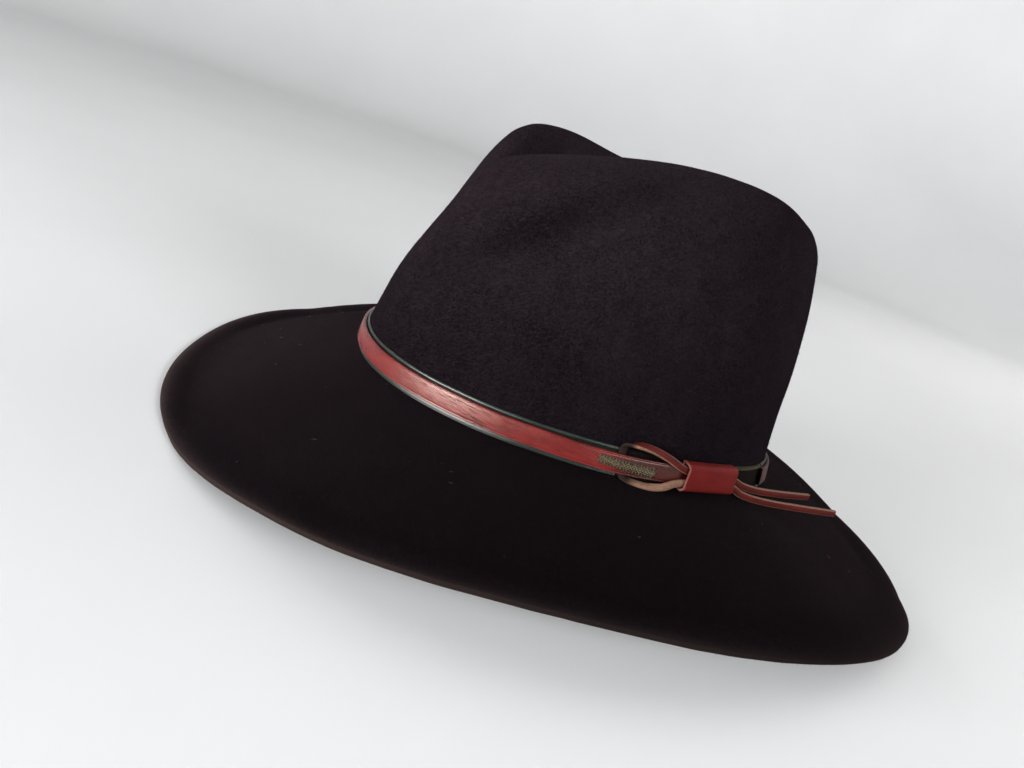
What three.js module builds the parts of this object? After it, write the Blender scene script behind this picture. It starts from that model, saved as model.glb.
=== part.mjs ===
// Outdoor hat: a wide-brimmed felt hat with a dent along the top of its crown and a pinch on each side.
// A red leather strap lies on a dark under band round the foot of the crown. On the wearer's left a thong
// loops behind the strap, and a leather keeper holds both.
// Millimetres, front towards -Y, the wearer's left towards +X, +Z up. The origin is on the surface that
// the hat rests on, below the middle of the brim. The tables are set out from the middle of the head
// opening, in the plane of the brim break, and the whole hat is lifted at the end.

import * as THREE from 'three';

// Felt
const FELT = 2;
const HEAD_HALF_WIDTH = 84.4;
const HEAD_HALF_LENGTH = 100.5;
const BREAK_HEIGHT = 31;
const CROWN_FORWARD = 3.1;
const CURL_WIDTH = 18;
const CURL_BEND = 0.6;
const DROOP_GROWTH = 0.32;

// Band and strap: heights above the brim break, and standoffs from the felt
const GAP = 0.3;
const BAND_LOW = 1.5;
const BAND_HIGH = 13.6;
const BAND_THICKNESS = 0.8;
const STRAP_LOW = 4;
const STRAP_HIGH = 12;
const STRAP_THICKNESS = 1.5;
const STRAP_BEVEL = 0.4;
const STRAP_HIDDEN_END = 120;
const STRAP_SHOWN_END = 150;
const STRAP_LIFT_FROM = 78;
const STRAP_LIFT_TO = 90;
const TRIM_RISE = 1.2;
const TRIM_RISE_FROM = 98;
const TRIM_RISE_TO = 130;

// Keeper and thong
const KEEPER_FROM = 114;
const KEEPER_TO = 129.5;
const KEEPER_LOW = 2.3;
const KEEPER_HIGH = 14;
const KEEPER_WALL = 1;
const KEEPER_STEPS = 6;
const KEEPER_CORNER = 1.2;
const KEEPER_INNER_CORNER = 0.3;
const THONG_WIDTH = 3;
const THONG_THICKNESS = 1.6;
const THONG_BACK_THICKNESS = 1;
const THONG_STEPS = 96;
const TAIL_STEP = 6;
const TAIL_SAG_LENGTH = 10;

// Fineness of the solids
const TURN_STEPS = 60;
const BRIM_STEPS = 12;

// The brim from the front to the rear in steps of 30 degrees, alike on both sides. width is measured along
// the felt, droop and curl are degrees, and rise is the height of the break line.
const BRIM = [
  { width: 83, droop: 23, curl: 20, rise: -1.2 },
  { width: 89.5, droop: 21, curl: 18.5, rise: -1.3 },
  { width: 91.5, droop: 15, curl: 25, rise: 0.3 },
  { width: 88, droop: 10, curl: 22, rise: 2.3 },
  { width: 86, droop: 11.5, curl: 12, rise: 2.9 },
  { width: 87, droop: 17, curl: 14.5, rise: 0.3 },
  { width: 88.5, droop: 20.8, curl: 15, rise: -2.4 },
];

// The ridge round the top of the crown, in steps of 30 degrees from the front over the wearer's left.
// The right side stands higher at the front.
const RIDGE = [
  { x: 0, y: -67, z: 93 },
  { x: 20, y: -62, z: 101.5 },
  { x: 36, y: -32, z: 113.5 },
  { x: 48, y: 5, z: 122.5 },
  { x: 49, y: 39, z: 123.5 },
  { x: 32, y: 64, z: 117 },
  { x: 0, y: 77, z: 109 },
  { x: -32, y: 63, z: 115 },
  { x: -49, y: 36, z: 120 },
  { x: -49, y: 0, z: 115 },
  { x: -42, y: -39, z: 119 },
  { x: -22, y: -61, z: 113.5 },
];

// The crown's wall from the brim break to the ridge. rise is the share of the height, and the other columns
// are the share of the way in from foot to ridge at the front, the sides and the back.
const WALL = [
  { rise: 0, front: 0, side: 0, back: 0 },
  { rise: 0.07, front: 0.02, side: 0.02, back: 0.07 },
  { rise: 0.14, front: 0.045, side: 0.04, back: 0.12 },
  { rise: 0.28, front: 0.115, side: 0.08, back: 0.2 },
  { rise: 0.44, front: 0.22, side: 0.14, back: 0.27 },
  { rise: 0.6, front: 0.4, side: 0.24, back: 0.37 },
  { rise: 0.74, front: 0.58, side: 0.37, back: 0.49 },
  { rise: 0.85, front: 0.71, side: 0.53, back: 0.61 },
  { rise: 0.93, front: 0.82, side: 0.7, back: 0.72 },
  { rise: 0.98, front: 0.92, side: 0.87, back: 0.86 },
  { rise: 1, front: 1, side: 1, back: 1 },
];

// The dent from the ridge to the line along its bottom: share of the way in, and share of the depth.
const DENT = [
  { inward: 0.1, fall: 0.03 },
  { inward: 0.22, fall: 0.13 },
  { inward: 0.36, fall: 0.32 },
  { inward: 0.52, fall: 0.56 },
  { inward: 0.7, fall: 0.79 },
  { inward: 0.86, fall: 0.94 },
  { inward: 1, fall: 1 },
];
const DENT_MIDDLE = -1;
const DENT_HALF_LENGTH = 51;
const DENT_HALF_WIDTH = 2.5;

// Height of the dent's bottom line, from the front to the rear.
const DENT_BOTTOM = [{ z: 82 }, { z: 83 }, { z: 86 }, { z: 89 }, { z: 93 }, { z: 98 }, { z: 100 }];

// The pinch pressed into each side of the crown: its middle, how far it spreads, and its slant.
const PINCH = { turn: 60, rise: 0.66, depth: 6, turnSpread: 26, riseSpread: 0.16, slant: 0.004 };

// The thong on the crown, from the keeper's rear end along the upper leg, down behind the strap and back
// along the lower leg. depth goes from 0 behind the strap to 1 on its face, and lean is the angle in degrees
// by which the thong's own face turns from straight out over upwards.
const THONG = [
  { turn: 130, height: 9.6, depth: 1, lean: 0 },
  { turn: 122.5, height: 10.4, depth: 1, lean: 0 },
  { turn: 114, height: 11.6, depth: 1, lean: 5 },
  { turn: 109, height: 14.9, depth: 1.05, lean: 22 },
  { turn: 105, height: 17, depth: 1.08, lean: 40 },
  { turn: 101.8, height: 17.6, depth: 1, lean: 60 },
  { turn: 99.8, height: 17, depth: 0.75, lean: 90 },
  { turn: 98.9, height: 15.8, depth: 0.35, lean: 125 },
  { turn: 98.7, height: 13.9, depth: 0, lean: 180 },
  { turn: 98.8, height: 10.5, depth: 0, lean: 180 },
  { turn: 99.4, height: 6, depth: 0, lean: 180 },
  { turn: 100.3, height: 3.1, depth: 0, lean: 185 },
  { turn: 101, height: 2.2, depth: 0.25, lean: 240 },
  { turn: 102.6, height: 2, depth: 0.65, lean: 255 },
  { turn: 106, height: 2, depth: 1.1, lean: 252 },
  { turn: 109.2, height: 2.9, depth: 1.22, lean: 215 },
  { turn: 112.5, height: 5.1, depth: 1.02, lean: 184 },
  { turn: 115, height: 6, depth: 1, lean: 180 },
  { turn: 122.5, height: 6.2, depth: 1, lean: 180 },
  { turn: 130, height: 6.3, depth: 1, lean: 180 },
];

// The thong's two free ends behind the keeper: spread is the angle away from the crown.
const TAILS = {
  upper: { length: 50, spread: 8, sag: 4.8 },
  lower: { length: 63, spread: 14, sag: 5 },
};

const LEATHER_RED = '#7d2b2b';
const MATERIALS = {
  felt: new THREE.MeshStandardMaterial({ color: '#151114', roughness: 0.95, metalness: 0 }),
  band: new THREE.MeshStandardMaterial({ color: '#1c2620', roughness: 0.45, metalness: 0 }),
  strap: new THREE.MeshStandardMaterial({ color: LEATHER_RED, roughness: 0.5, metalness: 0 }),
  keeper: new THREE.MeshStandardMaterial({ color: LEATHER_RED, roughness: 0.6, metalness: 0 }),
  thong: new THREE.MeshStandardMaterial({ color: '#6e2a24', roughness: 0.65, metalness: 0 }),
};

const FULL_TURN = 2 * Math.PI;
const radians = THREE.MathUtils.degToRad;
const smooth = THREE.MathUtils.smoothstep;
const mix = THREE.MathUtils.lerp;

// Value of a table's column at a turn in radians. The table goes once round the hat in equal steps, and
// a smooth curve runs through its rows.
function around(rows, column, turn) {
  const place = (turn / FULL_TURN) * rows.length;
  const first = Math.floor(place);
  const t = place - first;
  const value = (k) => rows[THREE.MathUtils.euclideanModulo(first + k, rows.length)][column];
  const [a, b, c, d] = [-1, 0, 1, 2].map(value);
  return b + 0.5 * t * (c - a + t * (2 * a - 5 * b + 4 * c - d + t * (3 * (b - c) + d - a)));
}

// Both sides of a table that lists one side from the front to the rear.
function bothSides(rows) {
  return [...rows, ...rows.slice(1, -1).reverse()];
}

const BRIM_ROUND = bothSides(BRIM);
const DENT_BOTTOM_ROUND = bothSides(DENT_BOTTOM);

// Foot of the crown, in the middle of the felt's thickness.
function foot(turn) {
  const x = (HEAD_HALF_WIDTH + FELT / 2) * Math.sin(turn);
  const y = -(HEAD_HALF_LENGTH + FELT / 2) * Math.cos(turn);
  return new THREE.Vector3(x, y, around(BRIM_ROUND, 'rise', turn));
}

// Level direction straight out from the crown's foot.
function outward(turn) {
  const x = Math.sin(turn) / (HEAD_HALF_WIDTH + FELT / 2);
  const y = -Math.cos(turn) / (HEAD_HALF_LENGTH + FELT / 2);
  return new THREE.Vector3(x, y, 0).normalize();
}

function ridge(turn) {
  return new THREE.Vector3(around(RIDGE, 'x', turn), around(RIDGE, 'y', turn), around(RIDGE, 'z', turn));
}

function dentBottom(turn) {
  const x = DENT_HALF_WIDTH * Math.sin(turn);
  const y = DENT_MIDDLE - DENT_HALF_LENGTH * Math.cos(turn);
  return new THREE.Vector3(x, y, around(DENT_BOTTOM_ROUND, 'z', turn));
}

// Points of the brim at one turn, from its edge to the break.
function brimPoints(turn) {
  const width = around(BRIM_ROUND, 'width', turn);
  const droop = radians(around(BRIM_ROUND, 'droop', turn));
  const curl = radians(around(BRIM_ROUND, 'curl', turn));
  const flat = width - CURL_WIDTH;
  const step = width / BRIM_STEPS;
  const out = outward(turn);
  const point = foot(turn);
  const points = [point.clone()];
  for (let k = 0; k < BRIM_STEPS; k++) {
    const along = (k + 0.5) * step;
    const growth = 1 + DROOP_GROWTH * (2 * smooth(along, 0, flat) - 1);
    const slope = droop * growth - curl * smooth(along, flat, flat + CURL_BEND * CURL_WIDTH);
    point.addScaledVector(out, step * Math.cos(slope));
    point.z -= step * Math.sin(slope);
    points.push(point.clone());
  }
  return points.reverse();
}

// How far the pinch presses the wall in.
function pinchDepth(turn, rise) {
  const fromFront = THREE.MathUtils.radToDeg(Math.acos(Math.cos(turn)));
  const across = (fromFront - PINCH.turn) / PINCH.turnSpread;
  const up = (rise - PINCH.rise - PINCH.slant * (fromFront - PINCH.turn)) / PINCH.riseSpread;
  return PINCH.depth * Math.exp(-across * across - up * up);
}

// Point of the crown's wall for a row of the wall's table.
function wallPoint(turn, row) {
  const front = Math.max(Math.cos(turn), 0) ** 2;
  const back = Math.max(-Math.cos(turn), 0) ** 2;
  const way = row.front * front + row.back * back + row.side * (1 - front - back);
  const low = foot(turn);
  const z = mix(low.z, ridge(turn).z, row.rise);
  return low.lerp(ridge(turn), way).setZ(z).addScaledVector(outward(turn), -pinchDepth(turn, row.rise));
}

function dentPoint(turn, row) {
  const high = ridge(turn);
  const low = dentBottom(turn);
  const z = mix(high.z, low.z, row.fall);
  return high.lerp(low, row.inward).setZ(z);
}

// A closed solid from points and triangles.
function solid(points, triangles) {
  const geometry = new THREE.BufferGeometry().setFromPoints(points);
  geometry.setIndex(triangles.flat());
  geometry.computeVertexNormals();
  return geometry;
}

// The felt is one piece: two skins, half the felt's thickness to each side of its middle.
function feltBody() {
  const turns = Array.from({ length: TURN_STEPS }, (_, k) => (k / TURN_STEPS) * FULL_TURN);
  const columns = turns.map((turn) => [
    ...brimPoints(turn),
    ...WALL.slice(1).map((row) => wallPoint(turn, row)),
    ...DENT.map((row) => dentPoint(turn, row)),
  ]);
  const rows = columns[0].length;
  const column = (k) => columns[THREE.MathUtils.euclideanModulo(k, TURN_STEPS)];
  const skin = (side) => {
    const lowest = side > 0 ? FELT - BREAK_HEIGHT : -BREAK_HEIGHT;
    const points = [];
    for (let i = 0; i < rows; i++) {
      for (let k = 0; k < TURN_STEPS; k++) {
        const inward = column(k)[Math.min(i + 1, rows - 1)].clone().sub(column(k)[Math.max(i - 1, 0)]);
        const along = column(k + 1)[i].clone().sub(column(k - 1)[i]);
        const normal = along.cross(inward).normalize();
        const point = column(k)[i].clone().addScaledVector(normal, (side * FELT) / 2);
        points.push(point.setZ(Math.max(point.z, lowest)));
      }
    }
    return points;
  };
  const outer = (i, k) => i * TURN_STEPS + (k % TURN_STEPS);
  const inner = (i, k) => rows * TURN_STEPS + outer(i, k);
  const triangles = [];
  for (let k = 0; k < TURN_STEPS; k++) {
    for (let i = 0; i < rows - 1; i++) {
      triangles.push([outer(i, k), outer(i, k + 1), outer(i + 1, k + 1)]);
      triangles.push([outer(i, k), outer(i + 1, k + 1), outer(i + 1, k)]);
      triangles.push([inner(i, k), inner(i + 1, k + 1), inner(i, k + 1)]);
      triangles.push([inner(i, k), inner(i + 1, k), inner(i + 1, k + 1)]);
    }
    triangles.push([inner(0, k), inner(0, k + 1), outer(0, k + 1)]);
    triangles.push([inner(0, k), outer(0, k + 1), outer(0, k)]);
  }
  // The bottom of the dent is closed by a narrow strip from its left to its right side.
  const last = rows - 1;
  for (let k = 0; k < TURN_STEPS / 2; k++) {
    const left = k + 1;
    const right = TURN_STEPS - k - 1;
    if (left !== right) {
      triangles.push([outer(last, k), outer(last, left), outer(last, right)]);
      triangles.push([inner(last, k), inner(last, right), inner(last, left)]);
    }
    if (k > 0) {
      triangles.push([outer(last, k), outer(last, right), outer(last, right + 1)]);
      triangles.push([inner(last, k), inner(last, right + 1), inner(last, right)]);
    }
  }
  return solid([...skin(1), ...skin(-1)], triangles);
}

// Point on or off the foot of the crown, at a height above the break and a standoff from the felt.
function onCrown(turn, height, standoff) {
  const rise = height / (ridge(turn).z - foot(turn).z);
  const above = Math.max(WALL.findIndex((row) => row.rise > rise), 1);
  const [low, high] = [WALL[above - 1], WALL[above]];
  const share = (rise - low.rise) / (high.rise - low.rise);
  const row = { rise };
  for (const part of ['front', 'side', 'back']) {
    row[part] = mix(low[part], high[part], share);
  }
  return wallPoint(turn, row).addScaledVector(outward(turn), FELT / 2 + standoff);
}

// Solid swept through equal sections, each a closed convex outline. Without closed, both ends are capped.
function sweep(sections, closed) {
  const size = sections[0].length;
  const index = (s, k) => (s % sections.length) * size + (k % size);
  const triangles = [];
  const spans = closed ? sections.length : sections.length - 1;
  for (let s = 0; s < spans; s++) {
    for (let k = 0; k < size; k++) {
      triangles.push([index(s, k), index(s, k + 1), index(s + 1, k + 1)]);
      triangles.push([index(s, k), index(s + 1, k + 1), index(s + 1, k)]);
    }
  }
  if (!closed) {
    for (let k = 1; k < size - 1; k++) {
      triangles.push([index(0, 0), index(0, k + 1), index(0, k)]);
      triangles.push([index(spans, 0), index(spans, k), index(spans, k + 1)]);
    }
  }
  return solid(sections.flat(), triangles);
}

// Outline of a flat strap on the crown, with its outer edges bevelled: [height, standoff] pairs.
function strapOutline(low, high, standoff, thickness, bevel) {
  const face = standoff + thickness;
  return [
    [high, standoff],
    [high, face - bevel],
    [high - bevel, face],
    [low + bevel, face],
    [low, face - bevel],
    [low, standoff],
  ];
}

function underBand() {
  const outline = strapOutline(BAND_LOW, BAND_HIGH, GAP, BAND_THICKNESS, BAND_THICKNESS / 2);
  const sections = [];
  for (let k = 0; k < TURN_STEPS; k++) {
    const turn = (k / TURN_STEPS) * FULL_TURN;
    sections.push(outline.map(([height, standoff]) => onCrown(turn, height, standoff)));
  }
  return sweep(sections, true);
}

const ON_BAND = GAP + BAND_THICKNESS + GAP;
const STRAP_LIFT = THONG_BACK_THICKNESS + GAP;
const ON_STRAP = ON_BAND + STRAP_LIFT + STRAP_THICKNESS + GAP;

// Near the keeper the strap and the keeper rise a little towards the rear. turn is in degrees.
function trimRise(turn) {
  return TRIM_RISE * smooth(turn, TRIM_RISE_FROM, TRIM_RISE_TO);
}

// The strap goes from inside the keeper over the front, the right side and the rear to its shown end. Near
// the keeper it stands off, because the thong and the keeper's back pass behind it.
function leatherStrap() {
  const step = 360 / TURN_STEPS;
  const turns = [STRAP_SHOWN_END - 360];
  for (let turn = Math.ceil(turns[0] / step) * step; turn < STRAP_HIDDEN_END; turn += step) {
    turns.push(turn);
  }
  turns.push(STRAP_HIDDEN_END);
  const sections = turns.map((turn) => {
    const standoff = ON_BAND + STRAP_LIFT * smooth(turn, STRAP_LIFT_FROM, STRAP_LIFT_TO);
    const outline = strapOutline(STRAP_LOW, STRAP_HIGH, standoff, STRAP_THICKNESS, STRAP_BEVEL);
    return outline.map(([height, out]) => onCrown(radians(turn), height + trimRise(turn), out));
  });
  return sweep(sections, false);
}

// Outline of a box with cut corners, on the crown: [height, standoff] pairs.
function cutBox(low, high, near, far, corner) {
  return [
    [high - corner, near],
    [high, near + corner],
    [high, far - corner],
    [high - corner, far],
    [low + corner, far],
    [low, far - corner],
    [low, near + corner],
    [low + corner, near],
  ];
}

// The keeper is a sleeve that is open at both ends.
function keeper() {
  const far = ON_STRAP + THONG_THICKNESS + GAP + KEEPER_WALL;
  const outside = cutBox(KEEPER_LOW, KEEPER_HIGH, ON_BAND, far, KEEPER_CORNER);
  const low = KEEPER_LOW + KEEPER_WALL;
  const high = KEEPER_HIGH - KEEPER_WALL;
  const inside = cutBox(low, high, ON_BAND + KEEPER_WALL, far - KEEPER_WALL, KEEPER_INNER_CORNER);
  const size = outside.length;
  const points = [];
  for (let s = 0; s <= KEEPER_STEPS; s++) {
    const turn = mix(KEEPER_FROM, KEEPER_TO, s / KEEPER_STEPS);
    const rise = trimRise(turn);
    for (const [height, standoff] of [...outside, ...inside]) {
      points.push(onCrown(radians(turn), height + rise, standoff));
    }
  }
  const outer = (s, k) => s * 2 * size + (k % size);
  const inner = (s, k) => outer(s, k) + size;
  const triangles = [];
  for (let k = 0; k < size; k++) {
    for (let s = 0; s < KEEPER_STEPS; s++) {
      triangles.push([outer(s, k), outer(s, k + 1), outer(s + 1, k + 1)]);
      triangles.push([outer(s, k), outer(s + 1, k + 1), outer(s + 1, k)]);
      triangles.push([inner(s, k), inner(s + 1, k + 1), inner(s, k + 1)]);
      triangles.push([inner(s, k), inner(s + 1, k), inner(s + 1, k + 1)]);
    }
    triangles.push([outer(0, k), inner(0, k + 1), outer(0, k + 1)]);
    triangles.push([outer(0, k), inner(0, k), inner(0, k + 1)]);
    const s = KEEPER_STEPS;
    triangles.push([outer(s, k), outer(s, k + 1), inner(s, k + 1)]);
    triangles.push([outer(s, k), inner(s, k + 1), inner(s, k)]);
  }
  return solid(points, triangles);
}

// Stations of one tail, from the keeper to its free end.
function tailStations(tail, start) {
  const up = new THREE.Vector3(0, 0, 1);
  const face = start.face.clone().applyAxisAngle(up, -radians(tail.spread));
  const course = face.clone().applyAxisAngle(up, Math.PI / 2);
  const steps = Math.round(tail.length / TAIL_STEP);
  return Array.from({ length: steps }, (_, k) => {
    const distance = ((k + 1) / steps) * tail.length;
    const place = start.place.clone().addScaledVector(course, distance);
    place.z -= tail.sag * (1 - Math.exp(-distance / TAIL_SAG_LENGTH));
    return { ...start, place, face };
  });
}

// The thong is one piece: free end, upper leg, turn behind the strap, lower leg, free end. Each station has
// its place, the direction that a face without lean looks, its lean and its thickness.
function thongStations() {
  const behind = ON_BAND + THONG_BACK_THICKNESS / 2;
  const before = ON_STRAP + THONG_THICKNESS / 2;
  const stations = THONG.map(({ turn, height, depth, lean }) => ({
    place: onCrown(radians(turn), height, mix(behind, before, depth)),
    face: outward(radians(turn)),
    lean: radians(lean),
    thickness: mix(THONG_BACK_THICKNESS, THONG_THICKNESS, Math.min(depth, 1)),
  }));
  return [
    ...tailStations(TAILS.upper, stations[0]).reverse(),
    ...stations,
    ...tailStations(TAILS.lower, stations.at(-1)),
  ];
}

function thong() {
  const stations = thongStations();
  const spans = stations.length - 1;
  const course = new THREE.CatmullRomCurve3(stations.map((station) => station.place), false, 'centripetal');
  const sections = [];
  for (let s = 0; s <= THONG_STEPS; s++) {
    const place = (s / THONG_STEPS) * spans;
    const first = Math.min(Math.floor(place), spans - 1);
    const [a, b, share] = [stations[first], stations[first + 1], place - first];
    const middle = course.getPoint(s / THONG_STEPS);
    const tangent = course.getTangent(s / THONG_STEPS);
    const lean = mix(a.lean, b.lean, share);
    const face = a.face.clone().lerp(b.face, share).multiplyScalar(Math.cos(lean));
    face.z += Math.sin(lean);
    const across = face.clone().cross(tangent).normalize();
    face.crossVectors(tangent, across);
    const reach = mix(a.thickness, b.thickness, share) / 2;
    sections.push([[-1, -1], [1, -1], [1, 1], [-1, 1]].map(([side, out]) =>
      middle.clone().addScaledVector(across, (side * THONG_WIDTH) / 2).addScaledVector(face, out * reach)));
  }
  return sweep(sections, false);
}

const PIECES = [
  ['felt_body', feltBody(), MATERIALS.felt],
  ['under_band', underBand(), MATERIALS.band],
  ['leather_strap', leatherStrap(), MATERIALS.strap],
  ['keeper', keeper(), MATERIALS.keeper],
  ['thong', thong(), MATERIALS.thong],
];

const hat = new THREE.Group();
for (const [name, geometry, material] of PIECES) {
  const mesh = new THREE.Mesh(geometry, material);
  mesh.name = name;
  hat.add(mesh);
}
hat.position.set(0, -CROWN_FORWARD, BREAK_HEIGHT);

export default hat;
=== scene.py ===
"""Looks of a wide-brimmed felt hat: felt, its nap, leather band, strap with a tooled field, keeper, thong.

Shapes are worked out in millimetres, from the middle of the head opening in the plane where the brim leaves
the crown. Front is towards -Y, the wearer's left towards +X. A turn is the angle from the front, over the
wearer's left, in degrees. A height is counted up from the break, the line where the brim leaves the crown,
and a standoff is counted out from the felt. Every object is made in metres in the frame's own place.
"""

import math

import bpy
import numpy as np
from mathutils import Matrix, Vector, noise


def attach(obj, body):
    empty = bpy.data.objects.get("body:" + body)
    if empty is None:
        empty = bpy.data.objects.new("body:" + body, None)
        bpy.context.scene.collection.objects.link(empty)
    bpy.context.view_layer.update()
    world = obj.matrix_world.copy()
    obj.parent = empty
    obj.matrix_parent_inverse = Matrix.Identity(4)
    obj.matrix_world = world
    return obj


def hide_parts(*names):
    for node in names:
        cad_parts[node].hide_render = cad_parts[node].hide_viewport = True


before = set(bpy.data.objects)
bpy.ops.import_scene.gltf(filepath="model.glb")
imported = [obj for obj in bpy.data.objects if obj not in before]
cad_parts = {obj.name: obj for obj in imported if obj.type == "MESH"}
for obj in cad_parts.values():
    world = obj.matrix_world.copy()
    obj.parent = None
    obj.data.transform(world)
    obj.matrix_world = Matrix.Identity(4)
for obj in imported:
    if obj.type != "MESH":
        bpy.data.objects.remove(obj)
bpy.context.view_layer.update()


def table(columns, *rows):
    """Rows of a table as dicts, with the names of its columns."""
    return [dict(zip(columns.split(), row)) for row in rows]


MM = 0.001
HAT_PLACE = np.array([0.0, -3.1, 31.0])
FLOOR_HEIGHT = -HAT_PLACE[2]
SEED = 7

# Fineness of the meshes
TURN_STEPS = 240
BRIM_STEPS = 40
WALL_SPLIT = 5
WALL_FINE_STEPS = 400
DENT_SPLIT = 4
BAND_STEPS = 480
STRAP_STEPS = 940
KEEPER_ROWS, KEEPER_CORNER_POINTS = 36, 7
THONG_STEPS = 420

# Felt: its thickness, the crown's foot, the brim's curl and droop, its rounded edge and its slow unevenness
FELT = 2.0
FOOT_HALF_WIDTH = 85.4
FOOT_HALF_LENGTH = 101.5
CURL_WIDTH = 18.0
CURL_BEND = 0.6
DROOP_GROWTH = 0.32
BREAK_ROWS, BREAK_PASSES = 3, 3
EDGE_ANGLES = (60, 30, 0, -30, -60)
EDGE_SWELL, EDGE_ROUNDNESS, EDGE_FLATTENING = 0.4, 0.7, 150
UNEVEN = table("size span", (0.35, 34), (0.12, 9))

# The brim from the front to the rear in steps of 30 degrees: width along the felt, droop and curl in
# degrees, and rise of the break line.
BRIM = table(
    "width droop curl rise",
    (83, 23, 20, -1.2),
    (89.5, 21, 18.5, -1.3),
    (91.5, 15, 25, 0.3),
    (88, 10, 22, 2.3),
    (86, 11.5, 12, 2.9),
    (87, 17, 14.5, 0.3),
    (88.5, 20.8, 15, -2.4),
)

# The ridge round the top of the crown, in steps of 30 degrees from the front over the wearer's left.
RIDGE = table(
    "x y z",
    (0, -67, 93),
    (20, -62, 101.5),
    (36, -32, 113.5),
    (48, 5, 122.5),
    (49, 39, 123.5),
    (32, 64, 117),
    (0, 77, 109),
    (-32, 63, 115),
    (-49, 36, 120),
    (-49, 0, 115),
    (-42, -39, 119),
    (-22, -61, 113.5),
)

# The crown's wall: share of the height, and share of the way in at the front, the sides and the back.
WALL = table(
    "rise front side back",
    (0, 0, 0, 0),
    (0.07, 0.02, 0.02, 0.07),
    (0.14, 0.045, 0.04, 0.12),
    (0.28, 0.115, 0.08, 0.2),
    (0.44, 0.22, 0.14, 0.27),
    (0.6, 0.4, 0.24, 0.37),
    (0.74, 0.58, 0.37, 0.49),
    (0.85, 0.71, 0.53, 0.61),
    (0.93, 0.82, 0.7, 0.72),
    (0.98, 0.92, 0.87, 0.86),
    (1, 1, 1, 1),
)
WALL_END = BRIM_STEPS + (len(WALL) - 1) * WALL_SPLIT

# The dent: share of the way in from the ridge to its bottom line, and share of the depth.
DENT = table(
    "inward fall",
    (0, 0),
    (0.1, 0.03),
    (0.22, 0.13),
    (0.36, 0.32),
    (0.52, 0.56),
    (0.7, 0.79),
    (0.86, 0.94),
    (1, 1),
)
DENT_MIDDLE, DENT_HALF_LENGTH, DENT_HALF_WIDTH = -1.0, 51.0, 2.5
DENT_BOTTOM = [dict(z=z) for z in (82, 83, 86, 89, 93, 98, 100)]

# The pinch pressed into each side of the crown.
PINCH = dict(turn=60, rise=0.66, depth=6, turn_spread=26, rise_spread=0.16, slant=0.004)

# Painted shade darkens the felt in an arch over each pinch, in a valley beside the brim's edge, on the brim
# by the turn from the front, and low on the crown. Painted light makes it lighter on the brim's edge, less
# so at the rear, and in the dent; on the edge it is partly the raw cut felt's own lightness. Places on the
# brim are rows from its edge.
ARCH_SHADE = dict(turn=64, rise=0.765, share=0.42, turn_spread=20, rise_spread=0.085, slant=0.0075)
VALLEY_SHADE = dict(row=6.5, share=0.26, spread=3)
BRIM_SHADE = dict(
    turn=(0, 17, 30, 45, 75, 94, 110, 125, 142, 180),
    share=(0, 0.12, 0.44, 0.53, 0.69, 0.75, 0.68, 0.57, 0.08, 0.08),
)
LOW_SHADE = dict(share=0.34, below_rise=0.85)
EDGE_LIGHT = dict(gain=3.0, rows=1.8, at_rear=0.2, rear_fade=(128, 98))
DENT_LIGHT = dict(gain=0.25, rows=8)
BRIM_FADE = (BRIM_STEPS + 8, BRIM_STEPS - 3)
# Share of a painted warm bounce light, the rim's brown, on the brim's edge and on the rest of the brim.
EDGE_BOUNCE_SHARE, BRIM_BOUNCE_SHARE = 0.7, 0.2

# Loose fibres of the nap, and pale lint. A fibre's middle, tip and curl are shares of its length.
FIBRE = dict(middle=0.55, tip=0.8, curl=0.45, taper=0.8)
NAP = dict(above=44000, below=8000, edge=6000, length=(0.4, 1.3), width=0.07)
NAP_RISE, NAP_CURL_LIFT, NAP_SUNK = (0.3, 1.1), 0.3, 0.1
LINT = dict(count=60, rows=BRIM_STEPS + 30, length=(0.8, 2.6), width=0.13, standoff=0.12, curl_lift=0.2)

# Band, strap, keeper and thong
GAP = 0.3
BAND_LOW, BAND_HIGH, BAND_THICKNESS = 1.5, 13.6, 0.8
BAND_FLARE, BAND_FLARE_FROM = 0.15, 4.3
STRAP_LOW, STRAP_HIGH, STRAP_THICKNESS = 4.0, 12.0, 1.5
STRAP_HIDDEN_END, STRAP_SHOWN_END = 120.0, 150.0
STRAP_LIFT_FROM, STRAP_LIFT_TO = 78.0, 90.0
TRIM_RISE, TRIM_RISE_FROM, TRIM_RISE_TO = 1.2, 98.0, 130.0
KEEPER_FROM, KEEPER_TO = 114.0, 129.5
KEEPER_LOW, KEEPER_HIGH, KEEPER_WALL = 2.3, 14.0, 1.0
KEEPER_RADIUS_OUTSIDE, KEEPER_RADIUS_INSIDE = 2.0, 1.0
THONG_WIDTH, THONG_THICKNESS, THONG_BACK_THICKNESS = 3.0, 1.6, 1.0
TAIL_STEP, TAIL_SAG_LENGTH = 6.0, 10.0
ON_BAND = GAP + BAND_THICKNESS + GAP
STRAP_LIFT = THONG_BACK_THICKNESS + GAP
ON_STRAP = ON_BAND + STRAP_LIFT + STRAP_THICKNESS + GAP

# The band's rolled edge: distance in from the edge, and share of the band's thickness. The lower roll is
# narrower and flatter.
BAND_ROLL = table(
    "inset full",
    (0, 0.15),
    (0.12, 0.75),
    (0.5, 1.12),
    (0.95, 1.22),
    (1.4, 1.1),
    (1.7, 0.86),
)
LOW_ROLL_WIDTH, LOW_ROLL_FULL = 0.5, 0.95
BAND_FACE = dict(full=0.8, below_roll=0.5, above_roll=0.3, points=8)
BAND_BEVEL = 0.3
# Slow waver of the lower and the upper edge.
BAND_WAVER = table("size span shift", (0.2, 15, 9), (0.25, 18, 0))
STRAP_WAVER = table("size span shift", (0.22, 11, 3), (0.22, 13, 5))

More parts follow.
